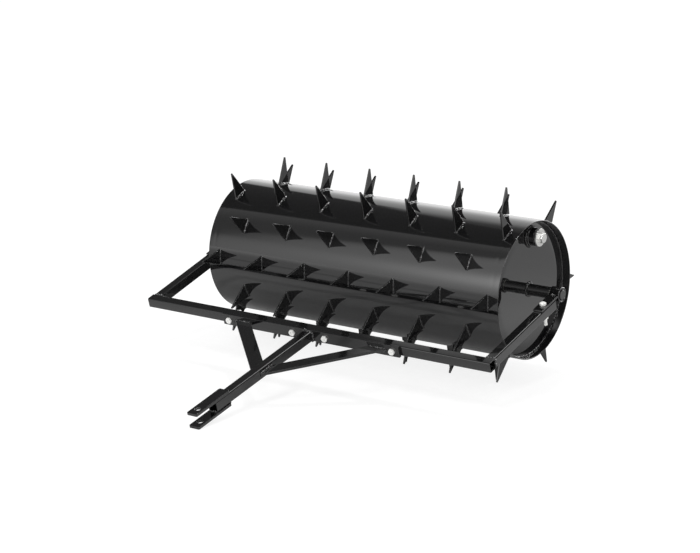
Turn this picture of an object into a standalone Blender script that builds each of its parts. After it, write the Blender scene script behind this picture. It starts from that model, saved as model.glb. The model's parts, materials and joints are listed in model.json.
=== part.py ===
"""Lawn aerator: a water-filled roller with welded spikes, in a towing frame of square tube.

Metres, +Z up. The hitch points to -Y, and right is +X, as seen from the hitch.
The origin is on the ground under the middle of the machine.
The drum stands on one row of spikes, and the frame leans forward until the hitch is on the ground.
"""

import math

import bmesh
import bpy
from mathutils import Vector

# Fits
GAP = 0.0003  # between pieces that touch
BOLT_CLEARANCE = 0.0005  # round a bolt in its hole

# Drum
DRUM_RADIUS = 0.200
DRUM_WIDTH = 1.025
SHELL_WALL = 0.003
DISC_THICKNESS = 0.004
DISC_RECESS = 0.0195  # from the rim to the disc's outer face
DRUM_STEPS = 96

# Spikes: triangular plates, in rows of one more and one fewer in turn
SPIKE_HEIGHT = 0.081
SPIKE_BASE = 0.047
SPIKE_TIP = 0.0035
SPIKE_THICKNESS = 0.005
SPIKE_EDGE = 0.0385  # from the rim to the end spike of a long row, if that row were centred
SPIKE_SHIFT = 0.0036  # of all rows towards the fill plug
SPIKES_IN_LONG_ROW = 7
SPIKE_ROWS = 12
# Degrees by which each hand-welded row lies off its even place, from the row at the top
ROW_ERRORS = (-4.0, 0.0, 0.9, 0.6, 0.2, 0.6, -1.8, -1.0, -1.7, -3.0, -3.3, -5.9)

# Centre tube, stub axles and their bushes
CENTRE_TUBE_RADIUS = 0.01685
CENTRE_TUBE_WALL = 0.0032
JOURNAL_RADIUS = 0.010
JOURNAL_LENGTH = 0.043
BUSH_LENGTH = 0.034
BUSH_FLANGE = 0.0024
BOSS_RADIUS = 0.0212
BOSS_WALL = 0.0056
BOSS_LENGTH = 0.032
STUB_PROUD = 0.0015  # of the boss's outer end
STUB_CHAMFER = 0.0012

# Fill socket and plug, in the right disc
FILL_INSET = 0.043  # from the shell's inner face to the plug's axis
SOCKET_RADIUS = 0.026
SOCKET_HEIGHT = 0.025  # outside the disc
SOCKET_INSIDE = 0.004
SOCKET_COLLAR_RADIUS = 0.0285
SOCKET_COLLAR_HEIGHT = 0.009
THREAD_RADIUS = 0.0209
THREAD_CLEARANCE = 0.0004
THREAD_PITCH = 0.002309
THREAD_TURNS = 6
SEAL_THICKNESS = 0.003
SEAL_WIDTH = 0.0035
PLUG_FLANGE_RADIUS = 0.0255
PLUG_FLANGE_HEIGHT = 0.005
PLUG_HEXAGON = 0.027  # across flats
PLUG_HEXAGON_HEIGHT = 0.012

# Frame tubes
TUBE = 0.030
TUBE_WALL = 0.0025
TUBE_CORNER = 0.0038
CORNER_STEPS = 3
SIDE_ROOM = 0.0575  # between the drum's rim and an arm
FRONT_ROOM = 0.086  # between the spike tips' circle and the front bar
FRAME_DROP = 0.013  # of the tubes' middle below the axle
ARM_SETBACK = 0.0138  # between the boss and the arm's rear end
BAR_OVERHANG = 0.0035  # of the front bar's left end past the arm

# Axle plates on the arms
AXLE_PLATE_THICKNESS = 0.005
AXLE_PLATE_OVERLAP = 0.075
AXLE_PLATE_BOLT = 0.044  # from the arm's rear end

# Hitch plate, drawbar, braces and ears
HITCH_PLATE_LENGTH = 0.620
HITCH_PLATE_HEIGHT = 0.035
HITCH_PLATE_THICKNESS = 0.008
HITCH_PLATE_RISE = 0.001
OUTER_BOLT_EDGE = 0.023  # from the plate's end
INNER_BOLT_OFFSET = 0.057  # from the middle
DRAWBAR_REACH = 0.452  # from the front bar's face
DRAWBAR_LIFT = math.radians(3.44)
BRACE_WIDTH = 0.040
BRACE_THICKNESS = 0.008
BRACE_ANGLE = math.radians(45)
BRACE_TO_BOLT = 0.023
EAR_WIDTH = 0.035
EAR_THICKNESS = 0.008
EAR_OVERLAP = 0.058
EAR_BEYOND_TUBE = 0.086
EAR_CORNER = 0.004
PIN_RADIUS = 0.0083
PIN_EDGE = 0.028  # from the ear's tip

# Bolts and nuts
BOLT_RADIUS = 0.005
BOLT_HEXAGON = 0.017  # across flats
BOLT_HEAD_HEIGHT = 0.0064
NUT_HEIGHT = 0.008
HEX_CHAMFER = 0.0012
ARM_BOLT_PAST_NUT = 0.021
PLATE_BOLT_PAST_NUT = 0.009

ROUND_STEPS = 36
BOLT_STEPS = 24
SHARP_ANGLE = math.radians(35)

# Places worked out from the sizes above, from the axle unless said otherwise
TIP_RADIUS = DRUM_RADIUS + SPIKE_HEIGHT
SHELL_BORE = DRUM_RADIUS - SHELL_WALL
DISC_FACE = DRUM_WIDTH / 2 - DISC_RECESS
SPIKE_PITCH = (DRUM_WIDTH - 2 * SPIKE_EDGE) / (SPIKES_IN_LONG_ROW - 1)
ARM_INNER = DRUM_WIDTH / 2 + SIDE_ROOM
FRAME_HALF_WIDTH = ARM_INNER + TUBE
BAR_REAR = TIP_RADIUS + FRONT_ROOM
BAR_FRONT = BAR_REAR + TUBE
ARM_REAR = BOSS_RADIUS + ARM_SETBACK
CENTRE_TUBE_END = ARM_INNER - BUSH_FLANGE - 2 * GAP
BOSS_BORE = BOSS_RADIUS - BOSS_WALL
FILL_AXIS = SHELL_BORE - FILL_INSET
HITCH_PLATE_MIDDLE = HITCH_PLATE_RISE - FRAME_DROP
OUTER_BOLT_OFFSET = HITCH_PLATE_LENGTH / 2 - OUTER_BOLT_EDGE
PLATE_BOLT_OFFSETS = (-OUTER_BOLT_OFFSET, -INNER_BOLT_OFFSET, INNER_BOLT_OFFSET, OUTER_BOLT_OFFSET)
PLATE_FRONT = HITCH_PLATE_THICKNESS + 2 * GAP  # in front of the front bar's face
ARM_BOLT_PLACE = ARM_REAR + AXLE_PLATE_BOLT
EAR_REAR = DRAWBAR_REACH - EAR_OVERLAP
EAR_TIP = DRAWBAR_REACH + EAR_BEYOND_TUBE
EAR_OUTER = TUBE / 2 + GAP + EAR_THICKNESS  # above and below the drawbar's middle line
PIN_PLACE = EAR_TIP - PIN_EDGE

# Angle of each spike row from straight up, towards the hitch
ROW_STEP = 360 / SPIKE_ROWS
ROW_ANGLES = [math.radians(row * ROW_STEP + error) for row, error in enumerate(ROW_ERRORS)]


def reach_of_tips(direction):
    """How far the spikes' blunt tips reach from the axle at this angle from straight up."""
    offsets = [angle - direction for angle in ROW_ANGLES]
    return max(TIP_RADIUS * math.cos(off) + SPIKE_TIP / 2 * abs(math.sin(off)) for off in offsets)


def lifted(forward, up):
    """(forward, up) of a point of the drawbar's own plane, in the frame's plane, from the axle."""
    cosine, sine = math.cos(DRAWBAR_LIFT), math.sin(DRAWBAR_LIFT)
    return BAR_FRONT + forward * cosine - up * sine, forward * sine + up * cosine - FRAME_DROP


# The drum stands on its lowest spikes, and the frame leans until the lower ear's tip is down
AXLE_HEIGHT = reach_of_tips(math.pi)
TOE_FORWARD, TOE_UP = lifted(EAR_TIP, -EAR_OUTER)
FRAME_LEAN = math.asin(AXLE_HEIGHT / math.hypot(TOE_FORWARD, TOE_UP)) + math.atan2(TOE_UP, TOE_FORWARD)
NOSE_FORWARD, NOSE_UP = lifted(EAR_TIP, EAR_OUTER)
FRONT_REACH = max(
    TOE_FORWARD * math.cos(FRAME_LEAN) + TOE_UP * math.sin(FRAME_LEAN),
    NOSE_FORWARD * math.cos(FRAME_LEAN) + NOSE_UP * math.sin(FRAME_LEAN),
)
AXLE_Y = (FRONT_REACH - reach_of_tips(-math.pi / 2)) / 2


# Materials


def material(name, colour, roughness, metallic=0.0):
    made = bpy.data.materials.new(name)
    made.use_nodes = True
    shader = made.node_tree.nodes["Principled BSDF"]
    shader.inputs["Base Color"].default_value = (*colour, 1.0)
    shader.inputs["Roughness"].default_value = roughness
    shader.inputs["Metallic"].default_value = metallic
    return made


# Shapes


def on_axis(axis, across, up, along):
    """A point at (across, up) in the section plane of an axis, and at this distance along it."""
    return Vector({"X": (along, across, up), "Y": (up, along, across), "Z": (across, up, along)}[axis])


def circle(axis, radius, along, steps):
    angles = [math.tau * step / steps for step in range(steps)]
    return [on_axis(axis, radius * math.cos(a), radius * math.sin(a), along) for a in angles]


def hexagon(axis, across_flats, along, steps):
    """A hexagon with the corners among as many points as a circle has, so that the two can be joined."""
    points = []
    for step in range(steps):
        angle = math.tau * step / steps
        from_flat = (angle + math.pi / 6) % (math.pi / 3) - math.pi / 6
        reach = across_flats / 2 / math.cos(from_flat)
        points.append(on_axis(axis, reach * math.cos(angle), reach * math.sin(angle), along))
    return points


def rounded_rectangle(axis, width, height, radius, along):
    """Width lies across the axis and height up it; each corner is an arc."""
    centres = ((1, 1), (-1, 1), (-1, -1), (1, -1))
    points = []
    for quarter, (side, top) in enumerate(centres):
        for step in range(CORNER_STEPS + 1):
            angle = math.pi / 2 * (quarter + step / CORNER_STEPS)
            across = side * (width / 2 - radius) + radius * math.cos(angle)
            up = top * (height / 2 - radius) + radius * math.sin(angle)
            points.append(on_axis(axis, across, up, along))
    return points


def loft(mesh, rings, closed=False):
    """Skins rings that have as many points each. Closed joins the last to the first, as in a pipe."""
    loops = [[mesh.verts.new(point) for point in ring] for ring in rings]
    pairs = list(zip(loops, loops[1:]))
    if closed:
        pairs.append((loops[-1], loops[0]))
    else:
        mesh.faces.new(reversed(loops[0]))
        mesh.faces.new(loops[-1])
    for lower, upper in pairs:
        for here in range(len(lower)):
            after = (here + 1) % len(lower)
            mesh.faces.new((lower[here], lower[after], upper[after], upper[here]))


def pipe_rings(axis, outer, inner, start, end, steps):
    return [
        circle(axis, outer, start, steps),
        circle(axis, outer, end, steps),
        circle(axis, inner, end, steps),
        circle(axis, inner, start, steps),
    ]


def square_tube_rings(axis, start, end):
    bore = TUBE - 2 * TUBE_WALL
    bore_corner = TUBE_CORNER - TUBE_WALL
    return [
        rounded_rectangle(axis, TUBE, TUBE, TUBE_CORNER, start),
        rounded_rectangle(axis, TUBE, TUBE, TUBE_CORNER, end),
        rounded_rectangle(axis, bore, bore, bore_corner, end),
        rounded_rectangle(axis, bore, bore, bore_corner, start),
    ]


def mesh_of(name, *ring_sets, closed=False):
    """A mesh of one or more lofted bodies."""
    shape = bmesh.new()
    for rings in ring_sets:
        loft(shape, rings, closed)
    bmesh.ops.recalc_face_normals(shape, faces=shape.faces)
    mesh = bpy.data.meshes.new(name)
    shape.to_mesh(mesh)
    shape.free()
    mesh.shade_smooth()
    mesh.set_sharp_from_angle(angle=SHARP_ANGLE)
    return mesh


def piece(name, mesh, finish, parent, location=(0, 0, 0), rotation=(0, 0, 0)):
    made = bpy.data.objects.new(name, mesh)
    bpy.context.scene.collection.objects.link(made)
    made.parent = parent
    made.location = location
    made.rotation_euler = rotation
    if not mesh.materials:
        mesh.materials.append(finish)
    return made


def helper(name, mesh, parent, location=(0, 0, 0)):
    """A body that only cuts or joins another."""
    made = bpy.data.objects.new(name, mesh)
    bpy.context.scene.collection.objects.link(made)
    made.parent = parent
    made.location = location
    made.hide_render = True
    made.display_type = "WIRE"
    return made


def boolean(made, other, operation):
    modifier = made.modifiers.new(other.name, "BOOLEAN")
    modifier.operation = operation
    modifier.solver = "EXACT"
    modifier.object = other


def empty(name, parent=None, location=(0, 0, 0), rotation=(0, 0, 0)):
    made = bpy.data.objects.new(name, None)
    bpy.context.scene.collection.objects.link(made)
    made.parent = parent
    made.location = location
    made.rotation_euler = rotation
    return made


def sides():
    """The name and the X direction of each side."""
    return (("left", -1), ("right", 1))


# Drum


def spike_rings(place, angle):
    """A blunt triangle, its root an arc in the middle of the shell's wall, seen along the drum's axis."""
    root_radius = DRUM_RADIUS - SHELL_WALL / 2
    half_base = SPIKE_BASE / 2 / DRUM_RADIUS
    root_steps = 4
    outline = [(-SPIKE_TIP / 2, TIP_RADIUS), (SPIKE_TIP / 2, TIP_RADIUS)]
    for step in range(root_steps + 1):
        turn = half_base * (1 - 2 * step / root_steps)
        outline.append((root_radius * math.sin(turn), root_radius * math.cos(turn)))
    cosine, sine = math.cos(angle), math.sin(angle)
    rings = []
    for x in (place - SPIKE_THICKNESS / 2, place + SPIKE_THICKNESS / 2):
        rings.append([Vector((x, b * cosine - r * sine, b * sine + r * cosine)) for b, r in outline])
    return rings


def spike_sets():
    sets = []
    for row, angle in enumerate(ROW_ANGLES):
        count = SPIKES_IN_LONG_ROW - 1 + row % 2
        for spike in range(count):
            place = SPIKE_SHIFT + (spike - (count - 1) / 2) * SPIKE_PITCH
            sets.append(spike_rings(place, angle))
    return sets


def build_shell(drum, paint):
    half = DRUM_WIDTH / 2
    wall = pipe_rings("X", DRUM_RADIUS, SHELL_BORE, -half, half, DRUM_STEPS)
    shell = piece("drum_shell", mesh_of("drum_shell", wall, closed=True), paint, drum)
    spikes = helper("spikes", mesh_of("spikes", *spike_sets()), drum)
    boolean(shell, spikes, "UNION")


def build_end_discs(drum, paint):
    hole = CENTRE_TUBE_RADIUS + GAP
    for side, way in sides():
        faces = sorted((way * DISC_FACE, way * (DISC_FACE - DISC_THICKNESS)))
        rings = pipe_rings("X", SHELL_BORE - GAP, hole, *faces, DRUM_STEPS)
        disc = piece(f"end_disc_{side}", mesh_of(f"end_disc_{side}", rings, closed=True), paint, drum)
        if side == "right":
            reach = (-DISC_THICKNESS * 2, DISC_THICKNESS)
            cut = [circle("X", SOCKET_RADIUS + GAP, along, ROUND_STEPS) for along in reach]
            cutter = helper("socket_hole", mesh_of("socket_hole", cut), drum, (DISC_FACE, 0, FILL_AXIS))
            boolean(disc, cutter, "DIFFERENCE")


def build_centre_tube(drum, paint):
    bore = CENTRE_TUBE_RADIUS - CENTRE_TUBE_WALL
    rings = pipe_rings("X", CENTRE_TUBE_RADIUS, bore, -CENTRE_TUBE_END, CENTRE_TUBE_END, ROUND_STEPS)
    piece("centre_tube", mesh_of("centre_tube", rings, closed=True), paint, drum)


def build_bushes(drum, nylon):
    """A flanged bush in each end of the centre tube. Its bore runs on the stub axle's journal."""
    bore = JOURNAL_RADIUS + GAP
    body = CENTRE_TUBE_RADIUS - CENTRE_TUBE_WALL - GAP
    seat = CENTRE_TUBE_END + GAP
    for side, way in sides():
        stations = (
            (body, seat - BUSH_LENGTH),
            (body, seat),
            (CENTRE_TUBE_RADIUS - GAP, seat),
            (CENTRE_TUBE_RADIUS - GAP, seat + BUSH_FLANGE),
            (bore, seat + BUSH_FLANGE),
            (bore, seat - BUSH_LENGTH),
        )
        rings = [circle("X", radius, way * along, ROUND_STEPS) for radius, along in stations]
        piece(f"bush_{side}", mesh_of(f"bush_{side}", rings, closed=True), nylon, drum)


def build_fill_socket(fill, paint):
    bore = THREAD_RADIUS + THREAD_CLEARANCE
    stations = (
        (bore, -DISC_THICKNESS - SOCKET_INSIDE),
        (SOCKET_RADIUS, -DISC_THICKNESS - SOCKET_INSIDE),
        (SOCKET_RADIUS, GAP),
        (SOCKET_COLLAR_RADIUS, GAP),
        (SOCKET_COLLAR_RADIUS, SOCKET_COLLAR_HEIGHT),
        (SOCKET_RADIUS, SOCKET_COLLAR_HEIGHT),
        (SOCKET_RADIUS, SOCKET_HEIGHT),
        (bore, SOCKET_HEIGHT),
    )
    rings = [circle("X", radius, along, ROUND_STEPS) for radius, along in stations]
    piece("fill_socket", mesh_of("fill_socket", rings, closed=True), paint, fill)


def build_fill_plug(fill, zinc, rubber):
    """The seal ring lies on the socket, and the plug's flange on the seal."""
    seal_end = SOCKET_HEIGHT + GAP + SEAL_THICKNESS
    seal = pipe_rings(
        "X",
        THREAD_RADIUS + GAP + SEAL_WIDTH,
        THREAD_RADIUS + GAP,
        SOCKET_HEIGHT + GAP,
        seal_end,
        ROUND_STEPS,
    )
    piece("fill_seal", mesh_of("fill_seal", seal, closed=True), rubber, fill)
    under = seal_end + GAP
    top = under + PLUG_FLANGE_HEIGHT
    end = top + PLUG_HEXAGON_HEIGHT
    thread_end = under - SEAL_THICKNESS - THREAD_PITCH * THREAD_TURNS
    rings = [
        circle("X", THREAD_RADIUS - HEX_CHAMFER, thread_end, ROUND_STEPS),
        circle("X", THREAD_RADIUS, thread_end + HEX_CHAMFER, ROUND_STEPS),
        circle("X", THREAD_RADIUS, under, ROUND_STEPS),
        circle("X", PLUG_FLANGE_RADIUS, under, ROUND_STEPS),
        circle("X", PLUG_FLANGE_RADIUS, top - HEX_CHAMFER / 2, ROUND_STEPS),
        circle("X", PLUG_FLANGE_RADIUS - HEX_CHAMFER / 2, top, ROUND_STEPS),
        hexagon("X", PLUG_HEXAGON, top, ROUND_STEPS),
        hexagon("X", PLUG_HEXAGON, end - HEX_CHAMFER, ROUND_STEPS),
        circle("X", PLUG_HEXAGON / 2 - HEX_CHAMFER / 4, end, ROUND_STEPS),
    ]
    piece("fill_plug", mesh_of("fill_plug", rings), zinc, fill)


# Fasteners


def bolt_mesh(name, length):
    """Head up and shank down, with the bearing face at the origin."""
    rings = [
        circle("Z", BOLT_RADIUS - HEX_CHAMFER, -length, BOLT_STEPS),
        circle("Z", BOLT_RADIUS, HEX_CHAMFER - length, BOLT_STEPS),
        circle("Z", BOLT_RADIUS, 0, BOLT_STEPS),
        hexagon("Z", BOLT_HEXAGON, 0, BOLT_STEPS),
        hexagon("Z", BOLT_HEXAGON, BOLT_HEAD_HEIGHT - HEX_CHAMFER, BOLT_STEPS),
        circle("Z", BOLT_HEXAGON / 2 - HEX_CHAMFER / 4, BOLT_HEAD_HEIGHT, BOLT_STEPS),
    ]
    return mesh_of(name, rings)


def nut_mesh(name):
    """Its upper bearing face is at the origin."""
    bore = BOLT_RADIUS + GAP
    face = BOLT_HEXAGON / 2 - HEX_CHAMFER / 4
    rings = [
        circle("Z", bore, -NUT_HEIGHT, BOLT_STEPS),
        circle("Z", face, -NUT_HEIGHT, BOLT_STEPS),
        hexagon("Z", BOLT_HEXAGON, HEX_CHAMFER - NUT_HEIGHT, BOLT_STEPS),
        hexagon("Z", BOLT_HEXAGON, -HEX_CHAMFER, BOLT_STEPS),
        circle("Z", face, 0, BOLT_STEPS),
        circle("Z", bore, 0, BOLT_STEPS),
    ]
    return mesh_of(name, rings, closed=True)


def bolt_cutter(name, axis, reach, places, parent):
    """One cutter for all the bolts of a joint, from minus to plus its reach."""
    radius = BOLT_RADIUS + BOLT_CLEARANCE
    sets = []
    for place in places:
        rings = [circle(axis, radius, along, BOLT_STEPS) for along in (-reach, reach)]
        sets.append([[point + Vector(place) for point in ring] for ring in rings])
    return helper(name, mesh_of(name, *sets), parent)


def build_plate_bolts(frame, zinc):
    """Heads on the hitch plate's front, nuts behind the front bar."""
    grip = PLATE_FRONT + TUBE + GAP
    length = grip + NUT_HEIGHT + PLATE_BOLT_PAST_NUT
    bolt = bolt_mesh("plate_bolt", length)
    nut = nut_mesh("plate_nut")
    head_forward = (math.pi / 2, 0, 0)
    for number, offset in enumerate(PLATE_BOLT_OFFSETS, 1):
        head = (offset, -BAR_FRONT - PLATE_FRONT - GAP, -FRAME_DROP)
        piece(f"plate_bolt_{number}", bolt, zinc, frame, head, head_forward)
        seat = (offset, GAP - BAR_REAR, -FRAME_DROP)
        piece(f"plate_nut_{number}", nut, zinc, frame, seat, head_forward)


def build_arm_bolts(frame, zinc):
    """Heads on the axle plates, nuts under the arms."""
    top = TUBE / 2 - FRAME_DROP + GAP + AXLE_PLATE_THICKNESS + GAP
    length = top + FRAME_DROP + TUBE / 2 + GAP + NUT_HEIGHT + ARM_BOLT_PAST_NUT
    bolt = bolt_mesh("arm_bolt", length)
    nut = nut_mesh("arm_nut")
    for side, way in sides():
        x = way * (ARM_INNER + TUBE / 2)
        piece(f"arm_bolt_{side}", bolt, zinc, frame, (x, -ARM_BOLT_PLACE, top))
        piece(f"arm_nut_{side}", nut, zinc, frame, (x, -ARM_BOLT_PLACE, -FRAME_DROP - TUBE / 2 - GAP))


# Frame, in a plane through the axle that leans forward


def build_front_bar(frame, paint, bolt_holes):
    """Cut a little long, so that it sticks out past the left arm."""
    rings = square_tube_rings("X", -FRAME_HALF_WIDTH - BAR_OVERHANG, FRAME_HALF_WIDTH)
    middle = (0, -BAR_REAR - TUBE / 2, -FRAME_DROP)
    bar = piece("front_bar", mesh_of("front_bar", rings, closed=True), paint, frame, middle)
    boolean(bar, bolt_holes, "DIFFERENCE")


def build_arms(frame, paint, bolt_holes):
    rings = square_tube_rings("Y", GAP - BAR_REAR, -ARM_REAR)
    arm = mesh_of("side_arm", rings, closed=True)
    for side, way in sides():
        middle = (way * (ARM_INNER + TUBE / 2), 0, -FRAME_DROP)
        boolean(piece(f"side_arm_{side}", arm, paint, frame, middle), bolt_holes, "DIFFERENCE")


def build_axle_plates(frame, paint, bolt_holes):
    """A flat bar on each arm's rear end, coped where it meets the round boss."""
    bottom = TUBE / 2 - FRAME_DROP + GAP
    front = -ARM_REAR - AXLE_PLATE_OVERLAP
    rear = -BOSS_RADIUS + AXLE_PLATE_THICKNESS
    rings = []
    for up in (bottom, bottom + AXLE_PLATE_THICKNESS):
        corners = ((-TUBE / 2, front), (TUBE / 2, front), (TUBE / 2, rear), (-TUBE / 2, rear))
        rings.append([Vector((x, y, up)) for x, y in corners])
    plate = mesh_of("axle_plate", rings)
    reach = FRAME_HALF_WIDTH + TUBE
    cope = [circle("X", BOSS_RADIUS + GAP, along, ROUND_STEPS) for along in (-reach, reach)]
    boss_space = helper("boss_space", mesh_of("boss_space", cope), frame)
    for side, way in sides():
        made = piece(f"axle_plate_{side}", plate, paint, frame, (way * (ARM_INNER + TUBE / 2), 0, 0))
        boolean(made, boss_space, "DIFFERENCE")
        boolean(made, bolt_holes, "DIFFERENCE")


def build_bosses(frame, paint):
    for side, way in sides():
        ends = sorted((way * ARM_INNER, way * (ARM_INNER + BOSS_LENGTH)))
        rings = pipe_rings("X", BOSS_RADIUS, BOSS_BORE, *ends, ROUND_STEPS)
        piece(f"axle_boss_{side}", mesh_of(f"axle_boss_{side}", rings, closed=True), paint, frame)


def build_stub_axles(frame, paint):
    """A turned bar: thick in the boss, and a thinner journal that reaches into the bush."""
    head = BOSS_BORE - GAP
    end = ARM_INNER + BOSS_LENGTH + STUB_PROUD
    stations = (
        (JOURNAL_RADIUS - STUB_CHAMFER, ARM_INNER - JOURNAL_LENGTH),
        (JOURNAL_RADIUS, ARM_INNER - JOURNAL_LENGTH + STUB_CHAMFER),
        (JOURNAL_RADIUS, ARM_INNER),
        (head, ARM_INNER),
        (head, end - STUB_CHAMFER),
        (head - STUB_CHAMFER, end),
    )
    for side, way in sides():
        rings = [circle("X", radius, way * along, ROUND_STEPS) for radius, along in stations]
        piece(f"stub_axle_{side}", mesh_of(f"stub_axle_{side}", rings), paint, frame)


def build_hitch_plate(frame, paint, bolt_holes):
    half, high = HITCH_PLATE_LENGTH / 2, HITCH_PLATE_HEIGHT / 2
    rings = []
    for forward in (GAP, GAP + HITCH_PLATE_THICKNESS):
        corners = ((-half, -high), (half, -high), (half, high), (-half, high))
        rings.append([Vector((x, -BAR_FRONT - forward, HITCH_PLATE_MIDDLE + z)) for x, z in corners])
    boolean(piece("hitch_plate", mesh_of("hitch_plate", rings), paint, frame), bolt_holes, "DIFFERENCE")


# Drawbar group, in its own plane, lifted a little about the front bar's face


def plate_face(up):
    """Where the drawbar's parts end at the hitch plate, whose face is not square to their plane."""
    return -PLATE_FRONT / math.cos(DRAWBAR_LIFT) - up * math.tan(DRAWBAR_LIFT)


def build_drawbar(hitch, paint):
    rings = square_tube_rings("Y", -DRAWBAR_REACH, 0)
    for ring in (rings[1], rings[2]):
        for point in ring:
            point.y = plate_face(point.z)
    piece("drawbar", mesh_of("drawbar", rings, closed=True), paint, hitch)


def build_braces(hitch, paint):
    """Flat bars that lie level, from the plate to the drawbar's sides."""
    outer_foot = OUTER_BOLT_OFFSET - BRACE_TO_BOLT
    inner_foot = outer_foot - BRACE_WIDTH / math.cos(BRACE_ANGLE)
    tube_side = TUBE / 2 + GAP
    for side, way in sides():
        rings = []
        for up in (-BRACE_THICKNESS / 2, BRACE_THICKNESS / 2):
            foot = plate_face(up)
            slope = math.tan(BRACE_ANGLE)
            corners = (
                (outer_foot, foot),
                (inner_foot, foot),
                (tube_side, foot - (inner_foot - tube_side) * slope),
                (tube_side, foot - (outer_foot - tube_side) * slope),
            )
            rings.append([Vector((way * x, y, up)) for x, y in corners])
        piece(f"brace_{side}", mesh_of(f"brace_{side}", rings), paint, hitch)


def build_ears(hitch, paint):
    """Two flat bars over and under the drawbar's end, with a hole for the hitch pin."""
    length = EAR_TIP - EAR_REAR
    middle = -(EAR_TIP + EAR_REAR) / 2
    low = TUBE / 2 + GAP
    rings = []
    for up in (low, low + EAR_THICKNESS):
        rings.append(rounded_rectangle("Z", EAR_WIDTH, length, EAR_CORNER, up))
    pin = [circle("Z", PIN_RADIUS, along, ROUND_STEPS) for along in (-TUBE, TUBE)]
    pin_hole = helper("pin_hole", mesh_of("pin_hole", pin), hitch, (0, -PIN_PLACE, 0))
    ear = mesh_of("hitch_ear", rings)
    for name, rotation in (("hitch_ear_upper", (0, 0, 0)), ("hitch_ear_lower", (0, math.pi, 0))):
        boolean(piece(name, ear, paint, hitch, (0, middle, 0), rotation), pin_hole, "DIFFERENCE")


def main():
    for old in list(bpy.data.objects):
        bpy.data.objects.remove(old)
    paint = material("black_paint", (0.012, 0.012, 0.013), 0.12)
    zinc = material("zinc_plate", (0.62, 0.62, 0.60), 0.30, 1.0)
    nylon = material("nylon", (0.55, 0.54, 0.50), 0.45)
    rubber = material("rubber", (0.02, 0.02, 0.02), 0.70)

    axle = (0, AXLE_Y, AXLE_HEIGHT)
    drum = empty("drum_axis", None, axle)
    fill = empty("fill_axis", drum, (DISC_FACE, 0, FILL_AXIS))
    frame = empty("frame_plane", None, axle, (FRAME_LEAN, 0, 0))
    hitch = empty("hitch_plane", frame, (0, -BAR_FRONT, -FRAME_DROP), (-DRAWBAR_LIFT, 0, 0))

    build_shell(drum, paint)
    build_end_discs(drum, paint)
    build_centre_tube(drum, paint)
    build_bushes(drum, nylon)
    build_fill_socket(fill, paint)
    build_fill_plug(fill, zinc, rubber)

    plate_places = [(x, -BAR_FRONT, -FRAME_DROP) for x in PLATE_BOLT_OFFSETS]
    plate_holes = bolt_cutter("plate_bolt_holes", "Y", 2 * TUBE, plate_places, frame)
    arm_places = [(way * (ARM_INNER + TUBE / 2), -ARM_BOLT_PLACE, 0) for _, way in sides()]
    arm_holes = bolt_cutter("arm_bolt_holes", "Z", 2 * TUBE, arm_places, frame)
    build_front_bar(frame, paint, plate_holes)
    build_hitch_plate(frame, paint, plate_holes)
    build_plate_bolts(frame, zinc)
    build_arms(frame, paint, arm_holes)
    build_axle_plates(frame, paint, arm_holes)
    build_arm_bolts(frame, zinc)
    build_bosses(frame, paint)
    build_stub_axles(frame, paint)

    build_drawbar(hitch, paint)
    build_braces(hitch, paint)
    build_ears(hitch, paint)


main()
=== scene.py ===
"""Dresses the lawn aerator's frame: a glossy black spiked drum in a welded frame of square tube.

Metres, +Z up. The hitch points to -Y, and right is +X, as seen from the hitch.
"""

import json
import math
from functools import partial

import bpy
import numpy as np
from bpy.props import FloatProperty, FloatVectorProperty, IntProperty, PointerProperty
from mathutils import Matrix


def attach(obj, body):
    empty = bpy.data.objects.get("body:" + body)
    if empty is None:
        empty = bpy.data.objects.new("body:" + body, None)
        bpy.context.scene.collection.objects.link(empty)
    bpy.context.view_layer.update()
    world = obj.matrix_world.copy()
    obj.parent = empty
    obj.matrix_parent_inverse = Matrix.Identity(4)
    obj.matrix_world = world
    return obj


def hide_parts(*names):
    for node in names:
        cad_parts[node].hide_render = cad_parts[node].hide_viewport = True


bl_info = {
    "name": "Lawn aerator",
    "version": (1, 0, 0),
    "blender": (4, 5, 0),
    "location": "3D View > Sidebar > Aerator",
    "description": "Builds a towed lawn aerator with a spiked drum, piece by piece, and its studio",
    "category": "Add Mesh",
}

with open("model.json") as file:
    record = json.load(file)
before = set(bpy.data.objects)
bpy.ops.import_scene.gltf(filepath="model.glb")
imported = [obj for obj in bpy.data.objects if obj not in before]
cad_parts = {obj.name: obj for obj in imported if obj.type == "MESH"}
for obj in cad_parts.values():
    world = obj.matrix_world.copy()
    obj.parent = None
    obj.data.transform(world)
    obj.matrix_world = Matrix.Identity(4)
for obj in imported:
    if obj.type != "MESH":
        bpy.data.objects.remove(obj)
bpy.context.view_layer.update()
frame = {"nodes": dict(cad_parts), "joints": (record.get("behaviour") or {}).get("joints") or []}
SIDES = (("left", -1), ("right", 1))
PLATE_BOLTS = (1, 2, 3, 4)


# Measured from the frame


def joint_point(name):
    return np.array(next(joint["pos_m"] for joint in frame["joints"] if joint["name"] == name))


AXLE = joint_point("drum_turn")


def points_of(node):
    """A node's points, from the drum's axle."""
    vertices = frame["nodes"][node].data.vertices
    points = np.empty(len(vertices) * 3)
    vertices.foreach_get("co", points)
    return points.reshape(-1, 3) - AXLE


def reach_of(points):
    """How far points lie from the X axis."""
    return np.hypot(points[:, 1], points[:, 2])


def tilt_of(node):
    """A node's turn about X, by the normal of its largest upward face.

    It is the arc tangent of minus Y by Z.
    """
    faces = frame["nodes"][node].data.polygons
    upward = [face for face in faces if abs(face.normal.x) < 0.5 and face.normal.z > 0.5]
    normal = max(upward, key=lambda face: face.area).normal
    return math.atan2(-normal.y, normal.z)


def directions(tilt):
    """The X, Y and Z directions of a plane that is turned about X, as rows."""
    cosine, sine = math.cos(tilt), math.sin(tilt)
    return np.array([[1, 0, 0], [0, cosine, sine], [0, -sine, cosine]])


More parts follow.
